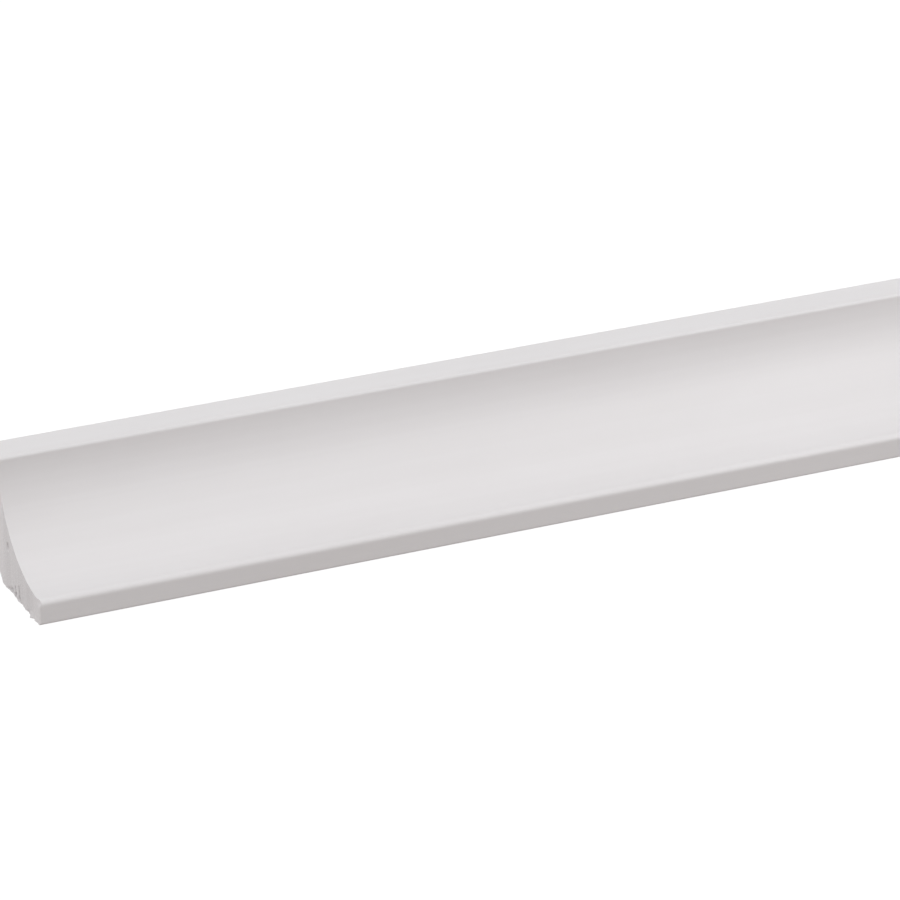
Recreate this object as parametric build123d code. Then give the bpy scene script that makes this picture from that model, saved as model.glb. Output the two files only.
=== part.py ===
from build123d import *
import os

# Cove moulding: one extruded length of white cellular plastic, lying on its base face.
# X runs along the length, the cove looks towards -Y and up, and Z = 0 is the floor.
# The origin is the middle of the base, halfway along the length.

# Driving dimensions, in millimetres
LENGTH = 2400.0         # stock length
COVE_RADIUS = 14.5      # quarter-round hollow
FRONT_BAND = 3.5        # upright flat under the front end of the cove
TOP_BAND = 5.5          # level flat behind the upper end of the cove
CORNER_CHAMFER = 6.0    # leg of the 45 degree relief on the hidden back corner
FRONT_EASE = 0.8        # round from the cove into the front band
TOP_EASE = 0.5          # round from the cove into the top band
ARRIS_EASE = 0.3        # round on the outer long edges

# Sizes that follow from them
height = FRONT_BAND + COVE_RADIUS
depth = COVE_RADIUS + TOP_BAND
front = -depth / 2
back = depth / 2
cove_end = front + COVE_RADIUS
cove_quarter = COVE_RADIUS / 2 ** 0.5


def corner(section, y, z):
    """The section's corner at (y, z)."""
    return section.vertices().sort_by_distance((y, z, 0))[0]


def eased_section():
    """The section across the length, drawn with depth to the right and height up."""
    with BuildSketch() as section:
        with BuildLine():
            Polyline(
                (front, FRONT_BAND),
                (front, 0),
                (back - CORNER_CHAMFER, 0),
                (back, CORNER_CHAMFER),
                (back, height),
                (cove_end, height),
            )
            ThreePointArc(
                (cove_end, height),
                (front + cove_quarter, height - cove_quarter),
                (front, FRONT_BAND),
            )
        make_face()
        fillet(corner(section, front, FRONT_BAND), FRONT_EASE)
        fillet(corner(section, cove_end, height), TOP_EASE)
        for y, z in (
            (front, 0),
            (back - CORNER_CHAMFER, 0),
            (back, CORNER_CHAMFER),
            (back, height),
        ):
            fillet(corner(section, y, z), ARRIS_EASE)
    return section.sketch


def cove_moulding():
    """The section extruded along X, half the length each way."""
    across = Plane(origin=(0, 0, 0), x_dir=(0, 1, 0), z_dir=(1, 0, 0))
    return extrude(across * eased_section(), LENGTH / 2, both=True)


os.makedirs("parts", exist_ok=True)
export_step(cove_moulding(), "parts/cove_moulding.step")
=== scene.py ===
import math
import bmesh
import bpy
import numpy as np
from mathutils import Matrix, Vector, geometry, noise


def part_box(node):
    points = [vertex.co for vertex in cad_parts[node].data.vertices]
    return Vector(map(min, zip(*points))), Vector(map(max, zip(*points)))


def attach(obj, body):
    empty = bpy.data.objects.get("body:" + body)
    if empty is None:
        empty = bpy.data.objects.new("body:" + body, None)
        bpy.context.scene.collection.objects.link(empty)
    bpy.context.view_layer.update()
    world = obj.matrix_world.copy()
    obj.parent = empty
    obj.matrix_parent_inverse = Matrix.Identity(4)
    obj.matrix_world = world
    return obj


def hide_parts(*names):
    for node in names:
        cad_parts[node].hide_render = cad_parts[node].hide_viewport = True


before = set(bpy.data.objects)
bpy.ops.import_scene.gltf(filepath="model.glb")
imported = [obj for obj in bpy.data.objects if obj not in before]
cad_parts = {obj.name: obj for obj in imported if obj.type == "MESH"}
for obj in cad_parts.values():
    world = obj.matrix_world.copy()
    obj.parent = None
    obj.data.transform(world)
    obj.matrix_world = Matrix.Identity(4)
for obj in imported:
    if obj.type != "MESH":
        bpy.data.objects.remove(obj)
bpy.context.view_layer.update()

# The stock
# White cellular plastic pushed through a die, so the section is the same all along, with every long edge a
# little rounded. The skin is satin, with fine lines along the length, and denser than the foam inside.
mm = 0.001
low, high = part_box("cove_moulding")
front, back, height = low.y, high.y, high.z
cove_radius = 14.5 * mm
corner_relief = 6.0 * mm
relief_angle = 45
front_ease = 0.8 * mm
top_ease = 0.5 * mm
arris_ease = 0.3 * mm
outline_step = 0.2 * mm
ease_segments = 8
saw_allowance = 0.45 * mm
first_ring = 0.1 * mm
ring_growth = 1.2
skin_white = (0.83, 0.81, 0.815, 1)
skin_shaded_white = (0.805, 0.782, 0.785, 1)
skin_roughness = (0.38, 0.5)
skin_bump = 0.004 * mm
skin_tone_range = (0.35, 0.65)
grain_range = (0.3, 0.7)
# How dense each pattern is, per metre, and how far it is drawn out along the length
die_line_scale, die_line_stretch = 1100, (0.002, 1, 1)
cloud_scale, cloud_stretch = 90, (0.3, 1, 1)
peel_scale = 800


def bend(centre, radius, start, end, segments=ease_segments):
    """Points (y, z) of an arc from one angle to another, in degrees, both ends included."""
    angles = np.radians(np.linspace(start, end, segments + 1))
    return [(centre[0] + radius * math.cos(a), centre[1] + radius * math.sin(a)) for a in angles]


def flat_between(start, end):
    """Points (y, z) of a flat between two bends, both ends left out, at most one outline step apart."""
    steps = math.ceil(math.dist(start, end) / outline_step)
    return [tuple(Vector(start).lerp(Vector(end), i / steps)) for i in range(1, steps)]


def section_outline():
    """The section's closed outline, from the front band's foot along the base and round to the cove."""
    foot = arris_ease * math.tan(math.radians(relief_angle / 2))
    relief_turn = 270 + relief_angle
    top_turn = math.degrees(math.asin(top_ease / (cove_radius + top_ease)))
    front_turn = math.degrees(math.asin(front_ease / (cove_radius + front_ease)))
    top_reach = math.sqrt(cove_radius ** 2 + 2 * cove_radius * top_ease)
    front_drop = math.sqrt(cove_radius ** 2 + 2 * cove_radius * front_ease)
    cove_segments = round(cove_radius * math.pi / 2 / outline_step)
    front_foot = bend((front + arris_ease, arris_ease), arris_ease, 180, 270)
    relief_foot = bend((back - corner_relief - foot, arris_ease), arris_ease, 270, relief_turn)
    relief_head = bend((back - arris_ease, corner_relief + foot), arris_ease, relief_turn, 360)
    back_head = bend((back - arris_ease, height - arris_ease), arris_ease, 0, 90)
    cove_head = bend((front + top_reach, height - top_ease), top_ease, 90, 180 - top_turn)
    cove = bend((front, height), cove_radius, -top_turn, front_turn - 90, cove_segments)
    cove_foot = bend((front + front_ease, height - front_drop), front_ease, 90 + front_turn, 180)
    outline = front_foot + flat_between(front_foot[-1], relief_foot[0])
    outline += relief_foot + flat_between(relief_foot[-1], relief_head[0])
    outline += relief_head + flat_between(relief_head[-1], back_head[0])
    outline += back_head + flat_between(back_head[-1], cove_head[0])
    outline += cove_head + cove[1:-1] + cove_foot
    return outline + flat_between(cove_foot[-1], front_foot[0])


def add_node(tree, kind, inputs=None, **settings):
    """Adds a node, sets its properties, and sets or links the inputs named or numbered in the dict."""
    node = tree.nodes.new(kind)
    for name, value in settings.items():
        setattr(node, name, value)
    for name, value in (inputs or {}).items():
        if isinstance(value, bpy.types.NodeSocket):
            tree.links.new(value, node.inputs[name])
        else:
            node.inputs[name].default_value = value
    return node


def maths(tree, operation, first, second=0.0):
    """The result of a Math node on two sockets or numbers."""
    return add_node(tree, "ShaderNodeMath", {0: first, 1: second}, operation=operation).outputs[0]


def sweep_tree():
    """Geometry Nodes: sweeps the section along X, in rings that stand closest at the two sawn ends."""
    tree = bpy.data.node_groups.new("cove_sweep", "GeometryNodeTree")
    tree.interface.new_socket("Section", in_out="INPUT", socket_type="NodeSocketGeometry")
    tree.interface.new_socket("Length", in_out="INPUT", socket_type="NodeSocketFloat")
    tree.interface.new_socket("First ring", in_out="INPUT", socket_type="NodeSocketFloat")
    tree.interface.new_socket("Ring growth", in_out="INPUT", socket_type="NodeSocketFloat")
    tree.interface.new_socket("Rings", in_out="INPUT", socket_type="NodeSocketInt")
    tree.interface.new_socket("Skin", in_out="INPUT", socket_type="NodeSocketMaterial")
    tree.interface.new_socket("Stock", in_out="OUTPUT", socket_type="NodeSocketGeometry")
    given = tree.nodes.new("NodeGroupInput").outputs
    result = tree.nodes.new("NodeGroupOutput")

    # Counted from an end, ring i stands First ring * (Ring growth ** i - 1) / (Ring growth - 1) in from it.
    count = maths(tree, "ADD", maths(tree, "MULTIPLY", given["Rings"], 2), 1)
    line = add_node(tree, "GeometryNodeMeshLine", {"Count": count}, mode="OFFSET")
    index = tree.nodes.new("GeometryNodeInputIndex").outputs[0]
    from_middle = maths(tree, "SUBTRACT", index, given["Rings"])
    from_end = maths(tree, "SUBTRACT", given["Rings"], maths(tree, "ABSOLUTE", from_middle))
    grown = maths(tree, "SUBTRACT", maths(tree, "POWER", given["Ring growth"], from_end), 1)
    share = maths(tree, "DIVIDE", grown, maths(tree, "SUBTRACT", given["Ring growth"], 1))
    set_in = maths(tree, "MULTIPLY", given["First ring"], share)
    reach = maths(tree, "SUBTRACT", maths(tree, "MULTIPLY", given["Length"], 0.5), set_in)
    along = maths(tree, "MULTIPLY", maths(tree, "SIGN", from_middle), reach)
    place = add_node(tree, "ShaderNodeCombineXYZ", {"X": along})
    ring_places = {"Geometry": line.outputs[0], "Position": place.outputs[0]}
    spread = add_node(tree, "GeometryNodeSetPosition", ring_places)
    path = add_node(tree, "GeometryNodeMeshToCurve", {"Mesh": spread.outputs[0]})
    upright = add_node(tree, "GeometryNodeSetCurveNormal", {"Curve": path.outputs[0]}, mode="Z_UP")
    profile = add_node(tree, "GeometryNodeMeshToCurve", {"Mesh": given["Section"]})
    curves = {"Curve": upright.outputs[0], "Profile Curve": profile.outputs[0]}
    sweep = add_node(tree, "GeometryNodeCurveToMesh", curves)
    smooth = add_node(tree, "GeometryNodeSetShadeSmooth", {"Geometry": sweep.outputs[0]})
    real = add_node(tree, "GeometryNodeRealizeInstances", {"Geometry": smooth.outputs[0]})
    bare_and_skin = {"Geometry": real.outputs[0], "Material": given["Skin"]}
    dress = add_node(tree, "GeometryNodeSetMaterial", bare_and_skin)
    tree.links.new(dress.outputs[0], result.inputs["Stock"])
    return tree


def set_input(modifier, name, value):
    """Sets a tree's named input through its socket's identifier."""
    for item in modifier.node_group.interface.items_tree:
        if item.name == name and item.in_out == "INPUT":
            modifier[item.identifier] = value


def grain(tree, place, scale, detail, roughness=0.5):
    """The value of a noise texture, from 0 to 1."""
    inputs = {"Vector": place, "Scale": scale, "Detail": detail, "Roughness": roughness}
    return add_node(tree, "ShaderNodeTexNoise", inputs).outputs[0]


def weighed(tree, *parts):
    """The sum of some values, each times its own share."""
    total = 0.0
    for value, share in parts:
        total = maths(tree, "ADD", total, maths(tree, "MULTIPLY", value, share))
    return total


def stretched(tree, value, given, wanted=(0, 1)):
    """A value, moved from the range that is given to the one that is wanted, and held at its ends."""
    inputs = {"Value": value, "From Min": given[0], "From Max": given[1]}
    inputs.update({"To Min": wanted[0], "To Max": wanted[1]})
    return add_node(tree, "ShaderNodeMapRange", inputs).outputs[0]


def colour_between(tree, share, first, second):
    """The colour some share of the way from the first to the second."""
    return add_node(tree, "ShaderNodeMix", {0: share, 6: first, 7: second}, data_type="RGBA").outputs[2]


def raised(tree, height, depth, beneath=None):
    """The normal of a bump of some depth, over the normal of the bump beneath it, if there is one."""
    inputs = {"Height": height, "Strength": 1, "Distance": depth}
    if beneath is not None:
        inputs["Normal"] = beneath
    return add_node(tree, "ShaderNodeBump", inputs).outputs[0]


def skin_material():
    """Satin white skin: die lines along X, a faint orange peel, and slightly uneven tone and gloss."""
    skin = bpy.data.materials.new("extruded_skin")
    skin.use_nodes = True
    tree = skin.node_tree
    shader = tree.nodes["Principled BSDF"]
    place = tree.nodes.new("ShaderNodeTexCoord").outputs["Object"]
    along_the_die = add_node(tree, "ShaderNodeMapping", {"Vector": place, "Scale": die_line_stretch})
    drawn_out = add_node(tree, "ShaderNodeMapping", {"Vector": place, "Scale": cloud_stretch})
    die_lines = grain(tree, along_the_die.outputs[0], die_line_scale, 3, 0.6)
    cloud = grain(tree, drawn_out.outputs[0], cloud_scale, 3)
    peel = grain(tree, place, peel_scale, 2)

    tone = stretched(tree, weighed(tree, (cloud, 0.7), (die_lines, 0.3)), skin_tone_range)
    colour = colour_between(tree, tone, skin_shaded_white, skin_white)
    tree.links.new(colour, shader.inputs["Base Color"])
    gloss = weighed(tree, (peel, 0.5), (die_lines, 0.5))
    tree.links.new(stretched(tree, gloss, grain_range, skin_roughness), shader.inputs["Roughness"])
    lined = raised(tree, die_lines, skin_bump)
    tree.links.new(raised(tree, peel, skin_bump, lined), shader.inputs["Normal"])
    return skin


outline = section_outline()
loop = [(i, (i + 1) % len(outline)) for i in range(len(outline))]
section = bpy.data.meshes.new("section")
section.from_pydata([(-y, -z, 0) for y, z in outline], loop, [])
swept = bpy.data.objects.new("swept_stock", section)
bpy.context.collection.objects.link(swept)
half_length = (high.x - low.x) / 2 - saw_allowance
rings = math.floor(math.log(half_length * (ring_growth - 1) / first_ring + 1, ring_growth))
sweep = swept.modifiers.new("sweep", "NODES")
sweep.node_group = sweep_tree()
set_input(sweep, "Length", 2 * half_length)
set_input(sweep, "First ring", first_ring)
set_input(sweep, "Ring growth", ring_growth)
set_input(sweep, "Rings", rings)
set_input(sweep, "Skin", skin_material())
stock_mesh = bpy.data.meshes.new_from_object(swept.evaluated_get(bpy.context.evaluated_depsgraph_get()))
bpy.data.objects.remove(swept)

# The sawn ends
# Both ends are cut square with a coarse saw, which opens the foam under the skin, leaves faint upright
# marks, and drags a ragged burr with a few torn nicks along the edge that it leaves last.
face_pitch = 0.12 * mm
relief_reach = 2.0 * mm
# From here to the seeds, lengths are plain millimetres.
# Each layer of saw marks: height, how dense it is across and upwards, and the step of its seed
saw_mark_layers = [
    (0.03, 0.55, 0.05, 0),
    (0.0135, 1.9, 0.12, 3),
    (0.0075, 6, 0.8, 5),
    (0.006, 9, 9, 7),
]
# Each layer of the ragged burr: height, how dense it is across, and the step of its seed
burr_layers = [
    (0.06, 0.9, 11),
    (0.03, 2.6, 13),
]
burr_reach = 0.45
# The corner over the front band is worn, deepest at one rise and over a spread, and fades towards the back
corner_wear, worn_rise, worn_spread = 0.3, 3.5, 2.2
worn_from, worn_to = 0.1, 1.3
# The front edge is worn evenly, and fades towards the back
edge_wear, edge_wear_to = 0.1, 0.35
# Each nick: distance from the front, foot, head, width and how deep it is torn
left_nicks = [
    (7.8, 0.10, 2.55, 0.52, 0.65),
    (9.2, 0.05, 1.90, 0.52, 0.65),
    (10.5, 0.00, 1.05, 1.30, 0.28),
    (11.5, 0.00, 0.60, 1.30, 0.28),
    (11.7, 5.85, 7.10, 0.65, 0.50),
]
right_nicks = [
    (5.2, 0.10, 0.95, 0.50, 0.45),
    (12.6, 0.15, 1.30, 0.40, 0.50),
]
# A nick wanders sideways, deepens from just below its foot to just above it, and loses part of its width on
# the way up. Its core and rim are shares of its width, and its head fades from a share of its height.
nick_wander, wander_density, wander_seed = 0.08, 1.7, 41
nick_foot_below, nick_foot_above = 0.1, 0.15
nick_taper = 0.4
nick_core, nick_rim = 0.1, 0.7
nick_head_fade = 0.55
# Each tooth of the burr, or gap in it: distance from the front, width and how far it sticks out
left_teeth = [
    (0.3, 0.8, 0.10),
    (1.6, 0.6, 0.10),
    (2.85, 0.65, 0.40),
    (3.5, 0.4, 0.10),
    (4.5, 0.3, -0.12),
    (5.3, 0.6, 0.09),
    (6.8, 0.5, -0.07),
    (8.1, 0.6, 0.10),
]
right_teeth = [
    (1.8, 0.7, 0.16),
    (3.9, 0.4, -0.10),
    (6.3, 0.5, 0.20),
    (9.4, 0.9, 0.10),
]
left_seed, right_seed = 2.0, 31.0
foam_white = (0.80, 0.778, 0.785, 1)
# The darker end of the foam's colour, which carries its pits and the painted shade of the cut face
foam_pit_and_painted_shade_grey = (0.71, 0.688, 0.695, 1)
foam_roughness = (0.68, 0.85)
# How dense each pattern of the foam is, per metre, and how far its marks are drawn out upwards
cell_scale, saw_mark_scale, band_scale = 3600, 2600, 420
upright_stretch = (1, 1, 0.1)
cell_depth, saw_mark_depth = 0.04 * mm, 0.05 * mm
# Painted light and shade on the cut face: how pale it is, from 0 to 1, at each share of the way from the
# front to the back
# It stands in for upright bands of shade from the saw's undulations and a lit strip beside the front corner
painted_cut_shading = [(0.1, 0.6), (0.15, 0.1), (0.2, 0.0), (0.28, 0.35), (0.5, 0.5), (0.6, 0.3), (0.72, 0.9)]
painted_cut_shading_share, painted_cut_shading_shift = 0.9, 0.35
foam_tone_range = (0.25, 0.95)
# How deep a tear must be for its colour to start and to finish darkening, and how dark it gets: painted
# shade in the nicks
torn_range = (0.05, 0.35)
painted_nick_shade = 0.75


def soft_step(value, low_end, high_end):
    """0 below one end, 1 above the other, and smooth between them."""
    t = min(max((value - low_end) / (high_end - low_end), 0), 1)
    return t * t * (3 - 2 * t)


def hump(value, centre, width):
    """1 at the centre, 0 from half the width away, and smooth between them."""
    return 1 - soft_step(abs(value - centre), 0, width / 2)


def torn_depth(depth, rise, nicks):
    """How deep the saw has torn the foam at a place on the section: a nick narrows and fades upwards."""
    torn = 0
    for across, foot, head, width, deep in nicks:
        share = min(max((rise - foot) / (head - foot), 0), 1)
        reach = width * (1 - nick_taper * share)
        wander = nick_wander * noise.noise((across, rise * wander_density, wander_seed))
        aside = abs(depth - across - wander)
        inside = 1 - soft_step(aside, reach * nick_core, reach * nick_rim)
        begun = soft_step(rise, foot - nick_foot_below, foot + nick_foot_above)
        upright = begun * (1 - soft_step(share, nick_head_fade, 1))
        torn = max(torn, deep * inside * upright)
    return torn


def cut_relief(depth, rise, teeth, seed):
    """How far in from the cutting plane the untorn surface lies at a place on the section."""
    marks = sum(
        deep * noise.noise((depth * across, rise * upwards, seed + step))
        for deep, across, upwards, step in saw_mark_layers
    )
    ragged = sum(deep * noise.noise((depth * across, 0, seed + step)) for deep, across, step in burr_layers)
    tooth = sum(out * hump(depth, across, 2 * width) for across, width, out in teeth)
    burr = (ragged - tooth) * math.exp(-(rise / burr_reach) ** 2)
    worn = corner_wear * (1 - soft_step(depth, worn_from, worn_to)) * hump(rise, worn_rise, worn_spread)
    return marks + burr + worn + edge_wear * (1 - soft_step(depth, 0, edge_wear_to))


def rim_of(mesh, at_x):
    """The open edge loop at one end, in order."""
    edges = [e for e in mesh.edges if e.is_boundary and abs(e.verts[0].co.x - at_x) < face_pitch]
    start = edges[0].verts[0]
    rim = [start]
    along = edges[0].other_vert(start)
    while along is not start:
        rim.append(along)
        onward = [e.other_vert(along) for e in along.link_edges if e.is_boundary]
        along = onward[0] if onward[0] is not rim[-2] else onward[1]
    return rim


def points_inside(rim, pitch, clear_of_rim=0.6):
    """A staggered grid of points inside the rim, some share of the pitch clear of its edges."""
    lowest, highest = rim.min(0), rim.max(0)
    rows = np.arange(lowest[1], highest[1], pitch * math.sqrt(0.75))
    columns = np.arange(lowest[0], highest[0], pitch)
    grid = np.array([(y + (pitch / 2 if i % 2 else 0), z) for i, z in enumerate(rows) for y in columns])
    crossings = np.zeros(len(grid), int)
    clearance = np.full(len(grid), np.inf)
    for p, q in zip(rim, np.roll(rim, -1, axis=0)):
        run = q - p
        if run[1]:
            spans = (grid[:, 1] >= min(p[1], q[1])) & (grid[:, 1] < max(p[1], q[1]))
            meets = p[0] + (grid[:, 1] - p[1]) * run[0] / run[1]
            crossings += spans & (meets > grid[:, 0])
        t = np.clip(((grid - p) @ run) / (run @ run), 0, 1)
        clearance = np.minimum(clearance, np.hypot(*(grid - p - t[:, None] * run).T))
    return grid[(crossings % 2 == 1) & (clearance > pitch * clear_of_rim)]


def saw_end(mesh, at_x, nicks, teeth, seed):
    """Closes one end with a fine sawn face, and gives it and the last of the sides their relief."""
    inward = 1 if at_x < 0 else -1
    rim = rim_of(mesh, at_x)
    flat = np.array([(v.co.y / mm, v.co.z / mm) for v in rim])
    corners = [Vector(p) for p in np.vstack([flat, points_inside(flat, face_pitch / mm)])]
    rim_face, only_inside, weld_distance = list(range(len(rim))), 1, 1e-5
    made = geometry.delaunay_2d_cdt(corners, [], [rim_face], only_inside, weld_distance)
    places, triangles = made[0], made[2]
    verts = rim + [mesh.verts.new((at_x, p.x * mm, p.y * mm)) for p in places[len(rim):]]
    for triangle in triangles:
        face = mesh.faces.new([verts[i] for i in triangle])
        face.smooth = True
        face.material_index = 1
        face.normal_update()
        if face.normal.x * inward > 0:
            face.normal_flip()
    for this, following in zip(rim, rim[1:] + rim[:1]):
        mesh.edges.get((this, following)).smooth = False
    torn = mesh.verts.layers.float.get("torn") or mesh.verts.layers.float.new("torn")
    for v in mesh.verts:
        set_back = abs(v.co.x - at_x)
        if set_back < relief_reach:
            depth, rise = (v.co.y - front) / mm, v.co.z / mm
            v[torn] = torn_depth(depth, rise, nicks)
            relief = (cut_relief(depth, rise, teeth, seed) + v[torn]) * mm
            v.co.x += inward * relief * (1 - set_back / relief_reach)


def foam_material():
    """Sawn foam: open cells, upright saw marks, painted light and shade from the front to the back, and
    painted shade in the torn nicks.
    """
    foam = bpy.data.materials.new("sawn_foam")
    foam.use_nodes = True
    tree = foam.node_tree
    shader = tree.nodes["Principled BSDF"]
    place = tree.nodes.new("ShaderNodeTexCoord").outputs["Object"]
    upright = add_node(tree, "ShaderNodeMapping", {"Vector": place, "Scale": upright_stretch}).outputs[0]
    cell_inputs = {"Vector": place, "Scale": cell_scale}
    cells = add_node(tree, "ShaderNodeTexVoronoi", cell_inputs).outputs["Distance"]
    saw_marks = grain(tree, upright, saw_mark_scale, 3)
    bands = grain(tree, upright, band_scale, 2)

    depth = add_node(tree, "ShaderNodeSeparateXYZ", {0: place}).outputs["Y"]
    share = maths(tree, "DIVIDE", maths(tree, "SUBTRACT", depth, front), back - front)
    ramp = add_node(tree, "ShaderNodeValToRGB", {0: share})
    ramp.color_ramp.interpolation = "EASE"
    stops = ramp.color_ramp.elements
    stops.remove(stops[1])
    for across, shade in painted_cut_shading:
        stops.new(across).color = (shade, shade, shade, 1)
    stops.remove(stops[0])
    # Painted light and shade across the cut face, from the front to the back
    shaded = maths(tree, "MULTIPLY", ramp.outputs["Color"], painted_cut_shading_share)
    shaded = maths(tree, "SUBTRACT", shaded, painted_cut_shading_shift)
    pale = weighed(tree, (bands, 0.5), (saw_marks, 0.25), (cells, 0.35))
    tone = stretched(tree, maths(tree, "ADD", pale, shaded), foam_tone_range)
    cut_colour = colour_between(tree, tone, foam_pit_and_painted_shade_grey, foam_white)
    torn = add_node(tree, "ShaderNodeAttribute", attribute_name="torn").outputs["Fac"]
    # Painted shade in the nicks: the colour darkens with the depth of the tear
    shade_in_nicks = stretched(tree, torn, torn_range, (1, painted_nick_shade))
    colour = add_node(tree, "ShaderNodeVectorMath", {0: cut_colour, "Scale": shade_in_nicks}, operation="SCALE")
    tree.links.new(colour.outputs[0], shader.inputs["Base Color"])
    rough = stretched(tree, saw_marks, grain_range, foam_roughness)
    tree.links.new(rough, shader.inputs["Roughness"])
    marked = raised(tree, saw_marks, saw_mark_depth)
    tree.links.new(raised(tree, cells, cell_depth, marked), shader.inputs["Normal"])
    return foam


stock_mesh.materials.append(foam_material())
shape = bmesh.new()
shape.from_mesh(stock_mesh)
saw_end(shape, -half_length, left_nicks, left_teeth, left_seed)
saw_end(shape, half_length, right_nicks, right_teeth, right_seed)
shape.to_mesh(stock_mesh)
shape.free()
stock = bpy.data.objects.new("cove_stock", stock_mesh)
bpy.context.collection.objects.link(stock)
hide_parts("cove_moulding")
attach(stock, "root")

# The camera
# It stands where the photograph was taken from: a long lens, level from side to side, about 0.67 m from
# the left end, which looks down on the cove and along it to the right.
picture_width = 900
focal_length_in_pixels = 5148
film_width = 36
looks_down = math.radians(24.338)
looks_right = math.radians(24.553)
left_of_the_cut = 201.8 * mm
in_front_of_the_band = 570.4 * mm
above_the_floor = 297.8 * mm
camera = bpy.data.objects.new("camera", bpy.data.cameras.new("camera"))
bpy.context.collection.objects.link(camera)
bpy.context.scene.camera = camera
camera.data.sensor_width = film_width
camera.data.lens = film_width * focal_length_in_pixels / picture_width
camera.data.clip_start = 10 * mm
camera.location = (-half_length - left_of_the_cut, front - in_front_of_the_band, above_the_floor)
camera.rotation_euler = (math.radians(90) - looks_down, 0, -looks_right)

# The floor
# A plain matt sheet, wide enough to run out of sight. The camera and reflections see it lifted to white,
# with the moulding's soft shadow kept, while the light that it throws back up is that of a duller sheet.
floor_reach = 60.0
floor_bounce = (0.352, 0.316, 0.295, 1)
floor_seen = (0.22, 0.22, 0.22, 1)
floor_lift = 0.88


def seen_directly(tree):
    """1 for camera, glossy and transmission rays, and 0 for the rays that carry light about the room."""
    ray = tree.nodes.new("ShaderNodeLightPath").outputs
    either = maths(tree, "MAXIMUM", ray["Is Camera Ray"], ray["Is Glossy Ray"])
    return maths(tree, "MAXIMUM", either, ray["Is Transmission Ray"])


def floor_material():
    """Matt white, lifted for the eye only."""
    paint = bpy.data.materials.new("floor_white")
    paint.use_nodes = True
    tree = paint.node_tree
    tree.nodes.clear()
    seen = seen_directly(tree)
    matt = add_node(tree, "ShaderNodeBsdfDiffuse", {0: colour_between(tree, seen, floor_bounce, floor_seen)})
    lift = add_node(tree, "ShaderNodeEmission", {"Strength": maths(tree, "MULTIPLY", seen, floor_lift)})
    both = add_node(tree, "ShaderNodeAddShader", {0: matt.outputs[0], 1: lift.outputs[0]})
    add_node(tree, "ShaderNodeOutputMaterial", {"Surface": both.outputs[0]})
    return paint


floor_corners = [(-floor_reach, -floor_reach, 0), (floor_reach, -floor_reach, 0)]
floor_corners += [(floor_reach, floor_reach, 0), (-floor_reach, floor_reach, 0)]
floor_mesh = bpy.data.meshes.new("floor")
floor_mesh.from_pydata(floor_corners, [], [(0, 1, 2, 3)])
floor_mesh.materials.append(floor_material())
floor = bpy.data.objects.new("floor", floor_mesh)
bpy.context.collection.objects.link(floor)

# The studio light
# A white room, a long soft lamp straight above, a lamp beyond each end for its sawn face, and a small one
# in front of the left end. Two weak strips stand along the front, and a low one behind lifts the back.
room_strength = 0.38
room_white = (0.994, 1, 1.012, 1)
plain_white = (1, 1, 1, 1)
strip_length = 4.5

world = bpy.data.worlds.new("studio")
bpy.context.scene.world = world
world.use_nodes = True
tree = world.node_tree
tree.nodes.clear()
room = add_node(tree, "ShaderNodeBackground", {"Color": room_white, "Strength": room_strength})
white = add_node(tree, "ShaderNodeBackground", {"Color": plain_white, "Strength": 1.0})
lit_and_seen = {0: seen_directly(tree), 1: room.outputs[0], 2: white.outputs[0]}
light = add_node(tree, "ShaderNodeMixShader", lit_and_seen)
add_node(tree, "ShaderNodeOutputWorld", {"Surface": light.outputs[0]})


def softbox(name, place, aim, size, power):
    """A rectangular soft lamp at one place, turned to face another."""
    lamp = bpy.data.lights.new(name, "AREA")
    lamp.shape = "RECTANGLE"
    lamp.size, lamp.size_y = size
    lamp.energy = power
    box = bpy.data.objects.new(name, lamp)
    bpy.context.collection.objects.link(box)
    box.location = place
    box.rotation_euler = (Vector(aim) - Vector(place)).to_track_quat("-Z", "Y").to_euler()
    box.visible_camera = False


def front_strip(name, start, out, up, width, power):
    """A lamp along the front, from some way right of the left end to past the right end."""
    end = high.x + 0.5
    middle = (low.x + start + end) / 2
    softbox(name, (middle, -out, up), (middle, 0, 0), (end - low.x - start, width), power)


softbox("overhead", (0, 0, 1.7), (0, 0, 0), (strip_length, 0.6), 6.8)
softbox("left_end", (low.x - 1.2, -0.3, 0.8), (low.x, 0, 0), (0.8, 0.8), 9.1)
softbox("right_end", (high.x + 1.2, -0.3, 0.8), (high.x, 0, 0), (0.8, 0.8), 9.0)
softbox("front_near", (low.x + 0.45, -0.35, 0.3), (low.x + 0.1, 0, 0), (0.3, 0.3), 0.58)
front_strip("front_low", 0.35, 0.35, 0.3, 0.3, 1.5)
front_strip("front_high", 0.2, 0.8, 0.7, 0.5, 3.0)
softbox("rear", (0, 1.3, 0.08), (0, 0, 0.01), (strip_length, 0.12), 9.5)

bpy.context.scene.view_settings.view_transform = "Standard"
